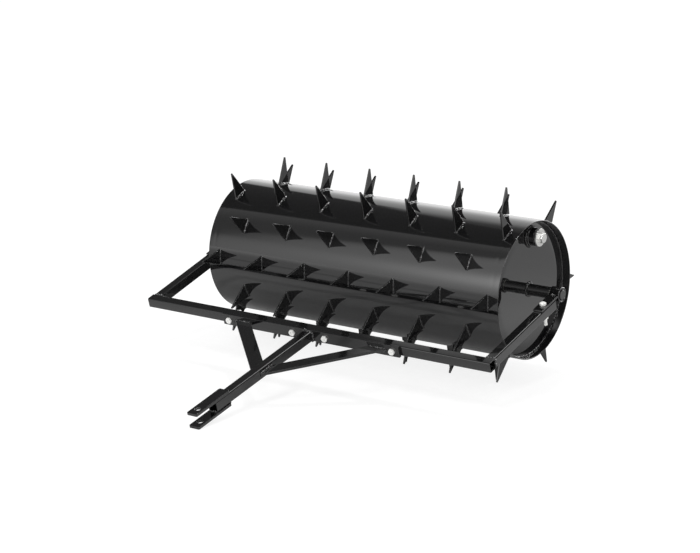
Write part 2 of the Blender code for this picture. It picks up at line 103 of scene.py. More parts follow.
def extent(node, tilt=0.0):
    """A node's lowest and highest corner along a tilted plane's directions, from the axle."""
    points = points_of(node) @ directions(tilt).T
    return np.array([points.min(0), points.max(0)])


def spikes_of(points):
    """Each spike's X, its angle from straight up towards the hitch, and its thickness.

    The tips are the points near the greatest reach. In order of angle they fall into rows, and
    the values of X in a row are the two faces of each plate in turn.
    """
    reach = reach_of(points)
    points = points[reach > reach.max() - 0.001]
    half_step = math.pi / 12
    angle = np.mod(np.arctan2(-points[:, 1], points[:, 2]) + half_step, math.tau)
    order = np.argsort(angle)
    points, angle = points[order], angle[order]
    row = np.cumsum(np.diff(angle, prepend=angle[0]) > half_step / 2)
    spikes = []
    for number in range(row[-1] + 1):
        faces = np.unique(points[row == number, 0].round(4)).reshape(-1, 2)
        turn = angle[row == number].mean() - half_step
        spikes += [((near + far) / 2, turn, far - near) for near, far in faces]
    return np.array(spikes)


def brace_plan(side):
    """A brace's corners along the hitch plane, two at the plate and two at the drawbar.

    Its lowest and highest place follow. The corners at the plate come from the points more than
    60 mm out and less than 1.5 mm from its rear end.
    """
    points = points_of(f"brace_{side}") @ directions(HITCH_TILT).T
    low, high = points.min(0), points.max(0)
    way = math.copysign(1, low[0] + high[0])
    out = points[:, 0] * way
    foot = out[(out > 0.06) & (points[:, 1] > high[1] - 0.0015)]
    head = points[out < out.min() + 0.0005, 1]
    corners = [
        (way * foot.max(), high[1]),
        (way * foot.min(), high[1]),
        (way * out.min(), head.max()),
        (way * out.min(), head.min()),
    ]
    return corners, low[2], high[2]


FRAME_TILT = tilt_of("side_arm_right")
HITCH_TILT = tilt_of("drawbar")
SHELL = points_of("drum_shell")
HALF_WIDTH = SHELL[:, 0].max()
RIM_REACH = reach_of(SHELL[np.abs(SHELL[:, 0]) > HALF_WIDTH - 0.0001])
DRUM_RADIUS, SHELL_BORE = RIM_REACH.max(), RIM_REACH.min()
TIP_RADIUS = reach_of(SHELL).max()
SPIKES = spikes_of(SHELL)
DISC_BACK, DISC_FACE = extent("end_disc_right")[:, 0]
FILL = joint_point("plug_turn") - AXLE
SOCKET = points_of("fill_socket") - FILL
SOCKET_REACH = reach_of(SOCKET)
SOCKET_LOW, SOCKET_TOP = SOCKET[:, 0].min(), SOCKET[:, 0].max()
SOCKET_NECK = SOCKET_REACH[SOCKET[:, 0] > SOCKET_TOP - 0.0001].max()
BOSS_RADIUS = extent("axle_boss_right")[1, 1]
PLATE_FACE = extent("hitch_plate", FRAME_TILT)[0, 1]


# Sizes and finishes that a user would change


def millimetres(name, description, default):
    """A length, given in millimetres and kept in metres."""
    default /= 1000
    return FloatProperty(
        name=name, description=description, default=default, min=0, precision=4, unit="LENGTH"
    )


def share(name, description, default):
    return FloatProperty(
        name=name, description=description, default=default, min=0, max=1, subtype="FACTOR"
    )


def colour(name, description, default):
    return FloatVectorProperty(
        name=name, description=description, default=default, size=3, min=0, max=1, subtype="COLOR"
    )


class AeratorDrumSizes(bpy.types.PropertyGroup):
    """Sizes of the drum, its spikes and the fill opening"""

    shell_edge: millimetres("Shell edge", "Radius of the shell's rim edges", 0.9)
    spike_base: millimetres("Spike base", "Length of a spike's foot on the shell", 47)
    spike_tip: millimetres("Spike tip", "Width of a spike's blunt tip", 3.5)
    spike_edge: millimetres("Spike edge", "Radius of a spike plate's edges", 0.7)
    disc_crown: millimetres("Disc crown", "How far an end disc falls away towards its rim", 4.5)
    crown_start: millimetres("Crown start", "Radius where an end disc starts to fall away", 154)
    weld_groove: millimetres("Weld groove", "Depth that a disc's weld draws the shell in", 0.04)
    end_taper: millimetres("End taper", "How much smaller the shell's radius is at its ends", 0.2)
    thread_pitch: millimetres("Plug thread pitch", "Pitch of the fill plug's thread", 2.309)
    thread_depth: millimetres("Plug thread depth", "Depth of the fill plug's thread", 1.3)
    plug_hexagon: millimetres("Plug hexagon", "Size of the plug's hexagon across its flats", 27)


class AeratorFrameSizes(bpy.types.PropertyGroup):
    """Sizes of the frame's tubes, bars and bolts"""

    tube_wall: millimetres("Tube wall", "Wall of the square tube", 2.5)
    tube_corner: millimetres("Tube corner", "Outer corner radius of the square tube", 3.8)
    cut_edge: millimetres("Cut edge", "Radius of sawn and sheared edges", 0.9)
    boss_wall: millimetres("Boss wall", "Wall of the pipe round a stub axle", 5.6)
    boss_edge: millimetres("Boss edge", "Radius of the outer edge of a boss", 2.2)
    boss_bevel: millimetres("Boss bevel", "Depth of the bevel inside a boss's outer end", 2.6)
    ear_corner: millimetres("Ear corner", "Corner radius of the hitch ears", 4)
    pin_radius: millimetres("Pin hole radius", "Radius of the hitch pin's holes", 8.3)
    pin_edge: millimetres("Pin hole edge", "Radius of the edges of the hitch pin's holes", 1.8)
    bolt_hexagon: millimetres("Bolt hexagon", "Size of bolt heads and nuts across their flats", 17)
    bolt_head: millimetres("Bolt head", "Height of a bolt's head", 6.4)
    bolt_radius: millimetres("Bolt radius", "Radius of a bolt's shank", 5)
    bolt_pitch: millimetres("Bolt thread pitch", "Pitch of a bolt's thread", 1.5)


class AeratorWelds(bpy.types.PropertyGroup):
    """Sizes of the weld beads"""

    spike_bead: millimetres("Spike bead", "Radius of the beads along the spikes' feet", 4.8)
    frame_bead: millimetres("Frame bead", "Radius of the beads on the frame", 3.4)
    disc_bead: millimetres("Disc bead", "Radius of the beads round the end discs", 2.8)
    tube_bead: millimetres("Tube bead", "Radius of the beads round the centre tube and socket", 3.4)
    ripple_pitch: millimetres("Ripple pitch", "Distance between a bead's ripples", 3.2)
    ripple: share("Ripple", "Height of the ripples as a share of the bead's radius", 0.12)
    lump_pitch: millimetres("Lump pitch", "Distance between a bead's lumps", 4.5)
    lump: share("Lump", "Height of the lumps as a share of the bead's radius", 0.36)
    seed: IntProperty(name="Seed", description="Seed of the beads' uneven run", default=7, min=0)


class AeratorFinishes(bpy.types.PropertyGroup):
    """Colours and gloss of the materials"""

    paint: colour("Paint", "Colour of the gloss paint", (0.005, 0.005, 0.0052))
    paint_roughness: share("Paint roughness", "Roughness under the paint's clear surface", 0.08)
    coat_roughness: share("Coat roughness", "Roughness of the paint's clear surface", 0.03)
    paint_flow: share("Paint flow", "Strength of the waves in the frame's paint", 0.04)
    sheet_flow: share("Sheet flow", "Strength of the waves in the drum's rolled sheet", 0.05)
    weld_flow: share("Weld flow", "Strength of the lumps in the weld beads", 0.35)
    zinc: colour("Zinc", "Colour of the zinc plate", (0.93, 0.93, 0.91))
    zinc_roughness: share("Zinc roughness", "Roughness of the bolts' zinc plate", 0.3)
    zinc_metal: share("Zinc metal", "Share of metal in the bolts' zinc plate", 0.1)
    bright_roughness: share("Bright zinc roughness", "Roughness of the plug's zinc plate", 0.1)
    bright_metal: share("Bright zinc metal", "Share of metal in the plug's zinc plate", 0.85)
    nylon: colour("Nylon", "Colour of the bushes", (0.55, 0.54, 0.50))
    rubber: colour("Rubber", "Colour of the seal ring", (0.02, 0.02, 0.02))


class AeratorStudio(bpy.types.PropertyGroup):
    """The floor, the light and the camera"""

    floor: share("Floor", "Share of its light that the floor gives back to the camera", 0.28)
    floor_glow: share("Floor glow", "Share of the floor's white that its shadow leaves", 0.80)
    room_light: share("Room light", "Level of the room that gloss mirrors", 0.8)
    fill_light: share("Fill light", "Level of the even light from all round", 0.68)
    key_power: FloatProperty(
        name="Key power", description="Power of the soft lamp", default=30, min=0, unit="POWER"
    )
    glint_power: FloatProperty(
        name="Glint power", description="Power of the small lamp", default=20, min=0, unit="POWER"
    )
    lens: FloatProperty(
        name="Lens", description="Focal length of the camera", default=109.24, min=1, unit="CAMERA"
    )
    eye: FloatVectorProperty(
        name="Eye",
        description="Where the camera stands",
        default=(3.4733, -4.7452, 1.7069),
        subtype="XYZ",
    )
    turn: FloatVectorProperty(
        name="Turn",
        description="Which way the camera looks",
        default=[math.radians(angle) for angle in (76.6084, -0.3564, 35.5585)],
        subtype="EULER",
    )


# Surfaces


def area_vectors(corners):
    """Half the sum of the cross products of a face's corners in turn, for each face."""
    return np.cross(corners, np.roll(corners, -1, 1)).sum(1) / 2


def cells(grid, closed):
    """The point numbers of grids of points, and the corners of each of their four-sided faces.

    Columns always join round. Closed joins the last row to the first.
    """
    index = np.arange(grid.size // 3).reshape(grid.shape[:3])
    joined = np.concatenate([index, index[:, :, :1]], 2)
    if closed:
        joined = np.concatenate([joined, joined[:, :1]], 1)
    corners = [joined[:, :-1, :-1], joined[:, :-1, 1:], joined[:, 1:, 1:], joined[:, 1:, :-1]]
    return index, np.stack(corners, -1)


def skin(name, grid, closed=False):
    """A mesh over grids of points, as bodies by rows by columns by three.

    Unless it is closed, one flat face closes each end.
    """
    grid = np.asarray(grid, float)
    if grid.ndim == 3:
        grid = grid[None]
    index, faces = cells(grid, closed)
    sheets = [faces.reshape(-1, 4)]
    if not closed:
        sheets += [index[:, 0, ::-1], index[:, -1]]
    return surface(name, grid.reshape(-1, 3), sheets)


def surface(name, points, sheets):
    """A mesh of points and of sheets of faces, each sheet an array of faces by corners.

    Where the volume comes out negative, the faces are turned round. A point's normal is the sum of
    the area vectors round it, so that flats stay flat beside narrow edges.
    """
    vectors = [area_vectors(points[sheet]) for sheet in sheets]
    volume = sum((vector * points[sheet].mean(1)).sum() for vector, sheet in zip(vectors, sheets))
    if volume < 0:
        sheets = [sheet[:, ::-1] for sheet in sheets]
        vectors = [-vector for vector in vectors]
    normals = np.zeros_like(points)
    for vector, sheet in zip(vectors, sheets):
        for column in sheet.T:
            np.add.at(normals, column, vector)
    normals /= np.maximum(np.linalg.norm(normals, axis=1, keepdims=True), 1e-12)
    mesh = bpy.data.meshes.new(name)
    mesh.from_pydata(points.tolist(), [], [face for sheet in sheets for face in sheet.tolist()])
    mesh.shade_smooth()
    mesh.normals_split_custom_set_from_vertices(normals.tolist())
    return mesh


def piece(name, grid, node="", body="frame", slot="black_paint", look="", tilt=None, closed=False):
    """Adds a piece made of grids from the axle, in place of a CAD node if one is given.

    With a tilt, the grids lie along that plane's directions.
    """
    grid = np.asarray(grid, float)
    if tilt is not None:
        grid = grid @ directions(tilt)
    add(skin(name, grid + AXLE, closed), node, body, slot, look)


def add(mesh, node, body, slot, look=""):
    """Adds a mesh as a piece, in the look of its slot unless another is given."""
    made = put(mesh.name, mesh)
    mesh.materials.append(finish(look or slot))
    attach(made, body)
    if node:
        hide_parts(node)


def put(name, data, place=(0, 0, 0), turn=(0, 0, 0)):
    """Adds an object to the scene."""
    made = bpy.data.objects.new(name, data)
    made.location, made.rotation_euler = place, turn
    bpy.context.scene.collection.objects.link(made)
    return made


def stand(axis, across, up, along):
    """Points at (across, up) in the section plane of an axis, and at this distance along it."""
    place = [None] * 3
    place[axis], place[(axis + 1) % 3], place[(axis + 2) % 3] = along, across, up
    return np.stack(np.broadcast_arrays(*place), -1)


def rim(radius, steps=3):
    """How far a round edge lies inside a surface and how deep below its end, step by step."""
    angle = np.linspace(0, math.pi / 2, steps + 1)
    return radius * (1 - np.sin(angle)), radius * (1 - np.cos(angle))


def lower_edge(reach, place, radius):
    """Rows of a round edge at the lower end of a turned part."""
    inset, depth = rim(radius)
    return zip(reach - inset, place + depth)


def upper_edge(reach, place, radius, steps=3):
    """Rows of a round edge at the upper end of a turned part."""
    inset, depth = rim(radius, steps)
    return zip(reach - inset[::-1], place - depth[::-1])


def bar_rows(low, high, edge, wall=None):
    """Insets and places along a bar from its lower end to its upper, with round edges.

    With a wall, the rows go back down the bore, and the last row joins the first.
    """
    inset, depth = rim(edge)
    insets = [inset, inset[::-1]]
    places = [low + depth, high - depth[::-1]]
    if wall is not None:
        insets += [wall - inset, wall - inset[::-1]]
        places += [high - depth, low + depth[::-1]]
    return np.concatenate(insets), np.concatenate(places)


LEAST_ARC = 0.00005  # The radius that a corner's arc always keeps


def outline(corners, radius, insets, steps=4):
    """A convex outline with round corners, once for each inset.

    A corner's arc is centred where its two sides cross once both are moved in by the radius, or by
    the inset and the least arc where that is more. The arc's radius is what is left of that.
    """
    corners = np.asarray(corners, float)
    side = np.roll(corners, -1, 0) - corners
    side /= np.linalg.norm(side, axis=1, keepdims=True)
    after = np.stack([side[:, 1], -side[:, 0]], 1)
    before = np.roll(after, 1, 0)
    inward = (before + after) / (1 + (before * after).sum(1, keepdims=True))
    insets = np.asarray(insets, float)
    moved = np.maximum(radius, insets + LEAST_ARC)
    start = np.arctan2(before[:, 1], before[:, 0])
    sweep = np.mod(np.arctan2(after[:, 1], after[:, 0]) - start, math.tau)
    angle = start[:, None] + sweep[:, None] * np.linspace(0, 1, steps + 1)
    arc = np.stack([np.cos(angle), np.sin(angle)], -1)
    centres = corners - moved[:, None, None] * inward
    points = centres[:, :, None] + (moved - insets)[:, None, None, None] * arc
    return points.reshape(len(insets), -1, 2)


def oblong(low, high):
    """The corners of a rectangle, counter-clockwise."""
    return [(high[0], low[1]), (high[0], high[1]), (low[0], high[1]), (low[0], low[1])]


def prism(corners, axis, low, high, radius, edge, wall=None):
    """A straight bar or tube along an axis, over the corners of its section."""
    insets, places = bar_rows(low, high, edge, wall)
    section = outline(corners, radius, insets)
    return stand(axis, section[..., 0], section[..., 1], places[:, None])


def bar(box, axis, radius, edge, wall=None):
    """A straight bar or square tube that fills a box, with its length along an axis."""
    across = [(axis + 1) % 3, (axis + 2) % 3]
    return prism(oblong(*box[:, across]), axis, *box[:, axis], radius, edge, wall)


def around(steps):
    """Even angles round a circle."""
    return np.linspace(0, math.tau, steps, endpoint=False)


def turned(rows, angle, axis=0, centre=0.0, way=1):
    """Rows of a radius and a place along an axis, turned about it.

    Each radius and place is a number or an array over the angles. The way is plus or minus one.
    """
    rows = list(rows)
    radii, places = (
        np.concatenate([np.atleast_2d(row[part] + 0 * angle) for row in rows]) for part in (0, 1)
    )
    return stand(axis, radii * np.cos(angle), radii * np.sin(angle), places * way) + centre


def pipe(outer, inner, low, high, edge):
    """A round pipe with round edges, as a closed profile turned about X."""
    insets, places = bar_rows(low, high, edge, outer - inner)
    return turned(zip(outer - insets, places), around(72))


# Angles from the middle of a hexagon's side, close together beside its corners
ON_SIDE = np.radians([-29.2, -27.5, -20, -10, 0, 10, 20, 27.5, 29.2])
ROUND_HEXAGON = (np.arange(6)[:, None] * math.pi / 3 + ON_SIDE).ravel()


def hexagon(flats, low, high, edge, cut_below=False):
    """Rows of a hexagon, whose corners a cone of 30 degrees cuts at the top.

    The cone starts at a face that is a little smaller than the hexagon across its flats.
    """
    reach = np.tile(flats / 2 / np.cos(ON_SIDE), 6)
    face = flats / 2 * 0.97
    drop = (reach - face) * math.tan(math.pi / 6)
    foot = [(reach - edge, low), (reach, low + edge)]
    if cut_below:
        foot = [(face, low), (reach, low + drop)]
    return [*foot, (reach, high - drop), (face, high)]


def thread(radius, depth, pitch, low, high, angle):
    """Radii and places of a screw thread, as rows along it by angles round it.

    The radius falls by the depth times a triangle wave of the place by the pitch less the turn, and
    the wave fades in and out over the first and last half pitch.
    """
    rows_in_pitch = 6
    places = np.linspace(low, high, int((high - low) / pitch * rows_in_pitch) + 1)[:, None]
    wave = np.abs(2 * np.mod(places / pitch - angle / math.tau, 1) - 1)
    ends = np.minimum(places - low, high - places) / (pitch / 2)
    return radius - depth * wave * np.clip(ends, 0, 1), places


def bead(path, radius, number):
    """A weld bead: a round section carried along a path.

    Its radius is the given one, times one plus a cosine of the length by the ripple pitch, times
    random lumps, and it closes at both ends like an ellipse. Its middle sways at random about the
    path, by up to a share of the radius. Lumps and sway run in straight lines from knot to knot.
    """
    sizes = bpy.context.scene.aerator_welds
    path = np.asarray(path, float)
    length = np.concatenate([[0], np.cumsum(np.linalg.norm(np.diff(path, axis=0), axis=1))])
    random = np.random.default_rng(sizes.seed + number)
    knots = np.linspace(0, length[-1], int(length[-1] / sizes.lump_pitch) + 3)
    lumps, *sway = (
        np.interp(length, knots, random.uniform(-1, 1, len(knots))) * sizes.lump for _ in range(3)
    )
    ripple = 1 + sizes.ripple * np.cos(math.tau * length / sizes.ripple_pitch)
    closing = 1.5 * radius
    from_end = np.clip(np.minimum(length, length[-1] - length) / closing, 0.02, 1)
    size = radius * ripple * (1 + lumps) * np.sqrt(1 - (1 - from_end) ** 2)
    ahead = np.gradient(path, axis=0)
    ahead /= np.linalg.norm(ahead, axis=1, keepdims=True)
    first = np.cross(ahead, np.eye(3)[np.abs(ahead).sum(0).argmin()])
    first /= np.linalg.norm(first, axis=1, keepdims=True)
    second = np.cross(ahead, first)
    path = path + radius * (sway[0][:, None] * first + sway[1][:, None] * second)
    angle = around(10)[None, :, None]
    ring = np.cos(angle) * first[:, None] + np.sin(angle) * second[:, None]
    return path[:, None] + size[:, None, None] * ring


def weld(name, grid, body, tilt=None):
    """Adds beads in the welds' uneven paint."""
    piece(name, grid, body=body, look="weld_paint", tilt=tilt)


def ring_weld(name, centre, radius, size, stations, number):
    """Adds a bead round a circle about X, which starts and ends below and overlaps a little."""
    overlap = 0.03
    turn = np.linspace(-math.pi / 2 - overlap, 1.5 * math.pi + overlap, stations)
    path = stand(0, radius * np.cos(turn), radius * np.sin(turn), 0) + np.asarray(centre)
    weld(name, bead(path, size, number), "drum")


def block_border(top, bottom, left, right):
    """The points round a block of cells in turn, as rows and columns of their grid."""
    across, down = right - left, bottom - top
    rows = [*[top] * across, *range(top, bottom), *[bottom] * across, *range(bottom, top, -1)]
    columns = [*range(left, right), *[right] * down, *range(right, left, -1), *[left] * down]
    return np.array(rows), np.array(columns)


def pierced_disc(name, bore, rim_radius, face, back, crown, hole=None):
    """An end disc: rings from its bore to its rim in front, and back again behind.

    Beyond the crown's start its surfaces fall away inwards by the crown's depth times the way to
    the rim to the power of 1.3. A hole, given by its centre and radius, is a block of the front's
    cells and of those behind them. They are left out, the block's border is moved onto the circle,
    and walls join the front's border to the one behind.
    """
    steps, columns = 32, 192
    reach = np.linspace(bore, rim_radius, steps)
    turn = np.linspace(-math.pi / 2, 1.5 * math.pi, columns, endpoint=False)
    radii = np.concatenate([reach, reach[::-1]])[:, None]
    plane = np.stack([radii * np.cos(turn), radii * np.sin(turn)], -1).reshape(-1, 2)
    keep = np.ones((2 * steps, columns), bool)
    walls = []
    if hole:
        centre, size = np.array(hole[0]), hole[1]
        out, half_block = np.hypot(*centre), size * 0.88
        top, *_, bottom = np.flatnonzero(np.abs(reach - out) < half_block)
        from_hole = np.abs(turn - math.atan2(centre[1], centre[0])) * out
        left, *_, right = np.flatnonzero(from_hole < half_block)
        last = 2 * steps - 1
        keep[top:bottom, left:right] = keep[last - bottom : last - top, left:right] = False
        row, column = block_border(top, bottom, left, right)
        border = np.array([row, last - row]) * columns + column
        for side in border:
            spokes = plane[side] - centre
            plane[side] = centre + spokes * size / np.linalg.norm(spokes, axis=1)[:, None]
        after = np.roll(border, -1, 1)
        walls = [np.stack([border[0], after[0], after[1], border[1]], -1)]
    way = np.clip((np.linalg.norm(plane, axis=1) - crown[0]) / (rim_radius - crown[0]), 0, 1)
    depth = math.copysign(crown[1], face) * way**1.3
    in_front = np.arange(len(plane)) < steps * columns
    points = np.column_stack([np.where(in_front, face, back) - depth, plane])
    _, faces = cells(points.reshape(1, 2 * steps, columns, 3), True)
    sheets = [faces[0][keep], *walls]
    used = np.unique(np.concatenate([sheet.ravel() for sheet in sheets]))
    return surface(name, points[used] + AXLE, [np.searchsorted(used, sheet) for sheet in sheets])


# Materials


def group(name, inputs, output):
    """A new shader node group of plain values, with its inputs' defaults."""
    tree = bpy.data.node_groups.new(name, "ShaderNodeTree")
    for label, default in inputs:
        socket = tree.interface.new_socket(label, in_out="INPUT", socket_type="NodeSocketFloat")
        socket.default_value = default
    tree.interface.new_socket(output, in_out="OUTPUT", socket_type="NodeSocketFloat")
    return tree


def feed(tree, socket, value):
    """Joins a socket to an output, or gives it a value."""
    if isinstance(value, bpy.types.NodeSocket):
        tree.links.new(value, socket)
    else:
        socket.default_value = value


def add_node(tree, kind, inputs=None, **settings):
    """Adds a node with these inputs and settings, and gives its outputs."""
    made = tree.nodes.new(kind)
    for name, value in settings.items():
        setattr(made, name, value)
    for key, value in (inputs or {}).items():
        feed(tree, made.inputs[key], value)
    return made.outputs


def bare_tree(owner):
    """The emptied node tree of a material or world."""
    owner.use_nodes = True
    owner.node_tree.nodes.clear()
    return owner.node_tree


def maths(tree, operation, *values):
    """A Math node's result."""
    return add_node(tree, "ShaderNodeMath", dict(enumerate(values)), operation=operation)[0]


def curve(tree, value, stops):
    """A level that runs straight from stop to stop, each stop a value and its level."""
    places, levels = np.array(stops, float).T
    width, top = places[-1] - places[0], levels.max()
    ramp = tree.nodes.new("ShaderNodeValToRGB")
    way = maths(tree, "MULTIPLY_ADD", value, 1 / width, -places[0] / width)
    feed(tree, ramp.inputs["Fac"], way)
    elements = ramp.color_ramp.elements
    for stop, (place, level) in enumerate(zip((places - places[0]) / width, levels / top)):
        at_end = stop in (0, len(stops) - 1)
        element = elements[0 if stop == 0 else -1] if at_end else elements.new(place)
        element.color = (level, level, level, 1)
    return maths(tree, "MULTIPLY", ramp.outputs["Color"], top)


def choose(tree, factor, first, second):
    """The first value where the factor is 0 and the second where it is 1."""
    return add_node(tree, "ShaderNodeMix", {0: factor, 2: first, 3: second})[0]


# Levels of the mirrored room by the slanted bearing in front, by the height overhead and on the
# left behind, by the bearing where that part starts, and by the bearing straight behind
ROOM_FRONT = (
    (-120, 0.085), (26.2, 0.085), (27.8, 0.5), (34, 0.43), (41, 0.32), (47.6, 0.32),
    (48.9, 0.8), (50, 1.05), (51.5, 1.17), (52.6, 1.24), (120, 1.2),
)
ROOM_CEILING = ((0, 1), (60, 1), (68, 0.05), (90, 0.05))
ROOM_LEFT = (
    (0, 1.25), (5, 1.25), (13, 1.36), (20, 1.08), (25, 0.95), (30, 0.88), (37, 0.78),
    (45, 0.24), (60, 0.04), (90, 0.04),
)
ROOM_LEFT_START = ((-120, 1), (-46.8, 1), (-45.8, 0), (90, 0))
ROOM_BEHIND = ((-90, 4), (-67, 4), (-61, 0), (90, 0))
# Its bright patches: strength, bearing and height, width and tallness, and whether they are on
# the right alone
ROOM_PATCHES = ((1.9, 60.5, 16, 4.5, 11, False), (10.0, 14, 40, 10, 10, True))


def mirrored_room():
    """The group for the room that gloss mirrors, as a level by bearing and height in degrees.

    The bearing is the arc tangent of minus Y by the size of X, so it is positive towards the
    hitch, and the height is the arc sine of Z. In front the level goes by the bearing plus a
    quarter of the height above 25 degrees, and the ceiling dims it. On the left behind a bearing
    of -46 degrees, plus 0.7 of the height above 37, it goes by the height alone. Each patch adds
    its strength times a bell curve of bearing and height. The level straight behind, under the
    same ceiling, is added last.
    """
    tree = group("Mirrored room", (), "Level")
    calc = partial(maths, tree)
    direction = add_node(tree, "ShaderNodeTexCoord")["Generated"]
    x, y, z = add_node(tree, "ShaderNodeSeparateXYZ", {0: direction})
    bearing = calc("DEGREES", calc("ARCTAN2", calc("MULTIPLY", y, -1), calc("ABSOLUTE", x)))
    height = calc("DEGREES", calc("ARCSINE", z))
    # A quarter of the height above 25 degrees, where a height under 20 counts as 20
    raised = calc("MULTIPLY_ADD", calc("MAXIMUM", height, 20), 0.25, -25 * 0.25)
    front = curve(tree, calc("ADD", bearing, raised), ROOM_FRONT)
    ceiling = curve(tree, height, ROOM_CEILING)
    left = curve(tree, height, ROOM_LEFT)
    above = calc("MAXIMUM", calc("SUBTRACT", height, 37), 0)
    on_left = curve(tree, calc("MULTIPLY_ADD", above, -0.7, bearing), ROOM_LEFT_START)
    on_left = calc("MULTIPLY", on_left, calc("LESS_THAN", x, 0))
    on_right = calc("GREATER_THAN", x, 0)
    level = choose(tree, on_left, calc("MULTIPLY", front, ceiling), left)
    for strength, at, high, width, tall, right_alone in ROOM_PATCHES:
        beside = calc("MULTIPLY_ADD", bearing, 1 / width, -at / width)
        above = calc("MULTIPLY_ADD", height, 1 / tall, -high / tall)
        squares = calc("ADD", calc("MULTIPLY", beside, beside), calc("MULTIPLY", above, above))
        bell = calc("EXPONENT", calc("MULTIPLY", squares, -1))
        bell = calc("MULTIPLY", bell, on_right if right_alone else 1)
        level = calc("MULTIPLY_ADD", bell, strength, level)
    level = calc("MULTIPLY_ADD", curve(tree, bearing, ROOM_BEHIND), ceiling, level)
    add_node(tree, "NodeGroupOutput", {"Level": level})
    return tree


def wavy_surface():
    """The group for paint and plate: long waves, plus the peel share times a fine peel.

    Both are noise of the object's coordinates, with X times the stretch first, so that below one
    the waves run along X.
    """
    name = "Wavy surface"
    if name in bpy.data.node_groups:
        return bpy.data.node_groups[name]
    defaults = (("Wave scale", 9.0), ("Peel scale", 160.0), ("Peel share", 0.12), ("Stretch", 1.0))
    tree = group(name, defaults, "Height")
    given = add_node(tree, "NodeGroupInput")
    stretch = add_node(tree, "ShaderNodeCombineXYZ", {"X": given["Stretch"], "Y": 1, "Z": 1})[0]
    place = add_node(tree, "ShaderNodeTexCoord")["Object"]
    place = add_node(tree, "ShaderNodeVectorMath", {0: place, 1: stretch}, operation="MULTIPLY")[0]
    noise = partial(add_node, tree, "ShaderNodeTexNoise")
    waves = noise({"Vector": place, "Scale": given["Wave scale"], "Detail": 1.0})["Fac"]
    peel = noise({"Vector": place, "Scale": given["Peel scale"], "Detail": 2.0})["Fac"]
    height = maths(tree, "MULTIPLY_ADD", peel, given["Peel share"], waves)
    add_node(tree, "NodeGroupOutput", {"Height": height})
    return tree


def material(name, base, roughness, metallic=0.0):
    """A material of one colour, and its shader."""
    made = bpy.data.materials.new(name)
    made.use_nodes = True
    shader = made.node_tree.nodes["Principled BSDF"]
    shader.inputs["Base Color"].default_value = made.diffuse_color = (*base, 1)
    shader.inputs["Roughness"].default_value = roughness
    shader.inputs["Metallic"].default_value = metallic
    return made, shader


def add_waves(made, shader, strength, distance, wave_scale, peel_scale, peel_share, stretch=1.0):
    """Bumps a material with the wavy surface."""
    tree = made.node_tree
    given = {
        "Wave scale": wave_scale,
        "Peel scale": peel_scale,
        "Peel share": peel_share,
        "Stretch": stretch,
    }
    height = add_node(tree, "ShaderNodeGroup", given, node_tree=wavy_surface())["Height"]
    bump = {"Strength": strength, "Distance": distance, "Height": height}
    feed(tree, shader.inputs["Normal"], add_node(tree, "ShaderNodeBump", bump)["Normal"])


def paint(looks, name, flow, wave_scale, stretch=1.0):
    """Black paint with a clear gloss over it."""
    made, shader = material(name, looks.paint, looks.paint_roughness)
    shader.inputs["Coat Weight"].default_value = 1.0
    shader.inputs["Coat Roughness"].default_value = looks.coat_roughness
    add_waves(made, shader, flow, 0.004, wave_scale, 260.0, 0.012, stretch)
    return made


def plate(looks, name, roughness, metal, grain):
    """Zinc plate with a fine grain, which is part metal and part matt."""
    made, shader = material(name, looks.zinc, roughness, metal)
    add_waves(made, shader, grain, 0.0004, 120.0, 900.0, 0.5)
    return made


# The looks: one for each slot, and paint for rolled sheet and welds, and bright plate
LOOKS = {
    "black_paint": lambda looks: paint(looks, "gloss_black_paint", looks.paint_flow, 14.0),
    "rolled_paint": lambda looks: paint(looks, "rolled_sheet_paint", looks.sheet_flow, 26.0, 0.09),
    "weld_paint": lambda looks: paint(looks, "uneven_weld_paint", looks.weld_flow, 380.0),
    "zinc": lambda looks: plate(looks, "zinc_plate", looks.zinc_roughness, looks.zinc_metal, 0.25),
    "bright_zinc": lambda looks: plate(
        looks, "bright_zinc_plate", looks.bright_roughness, looks.bright_metal, 0.1
    ),
    "nylon": lambda looks: material("nylon_bush", looks.nylon, 0.45)[0],
    "rubber": lambda looks: material("seal_rubber", looks.rubber, 0.7)[0],
}
made_looks = {}


def finish(look):
    """The material of a look, made when it is first asked for."""
    if look not in made_looks:
        made_looks[look] = LOOKS[look](bpy.context.scene.aerator_finishes)
    return made_looks[look]


def refinish(node, look):
    """Gives a node that stays as it is its material."""
    materials = frame["nodes"][node].data.materials
    materials.clear()
    materials.append(finish(look))


# Pieces


class AERATOR_OT_drum_shell(bpy.types.Operator):
    """Rolls the drum's shell as a smooth pipe with round rims"""

    bl_idname = "aerator.drum_shell"
    bl_label = "Drum shell"

    def execute(self, context):
        sizes = context.scene.aerator_drum
        inset, depth = rim(sizes.shell_edge)
        groove_width, taper_length, drawn_end = 0.006, 0.016, 0.05
        near = np.linspace(sizes.shell_edge, drawn_end, 26)[1:-1]
        from_end = np.concatenate([depth, near])
        # The groove is a bell curve over the disc's weld, and the taper fades with the distance
        at_weld = HALF_WIDTH - DISC_FACE + 0.003
        groove = sizes.weld_groove * np.exp(-(((near - at_weld) / groove_width) ** 2))
        taper = sizes.end_taper * np.exp(-from_end / taper_length)
        half = np.concatenate([inset, groove]) + taper
        inside, back = bar_rows(-HALF_WIDTH, HALF_WIDTH, sizes.shell_edge)
        radii = [*(DRUM_RADIUS - half), *(DRUM_RADIUS - half[::-1]), *(SHELL_BORE + inside)]
        places = [*(from_end - HALF_WIDTH), *(HALF_WIDTH - from_end[::-1]), *back[::-1]]
        grid = turned(zip(radii, places), around(288))
        piece("drum_tube", grid, "drum_shell", "drum", look="rolled_paint", closed=True)
        return {"FINISHED"}


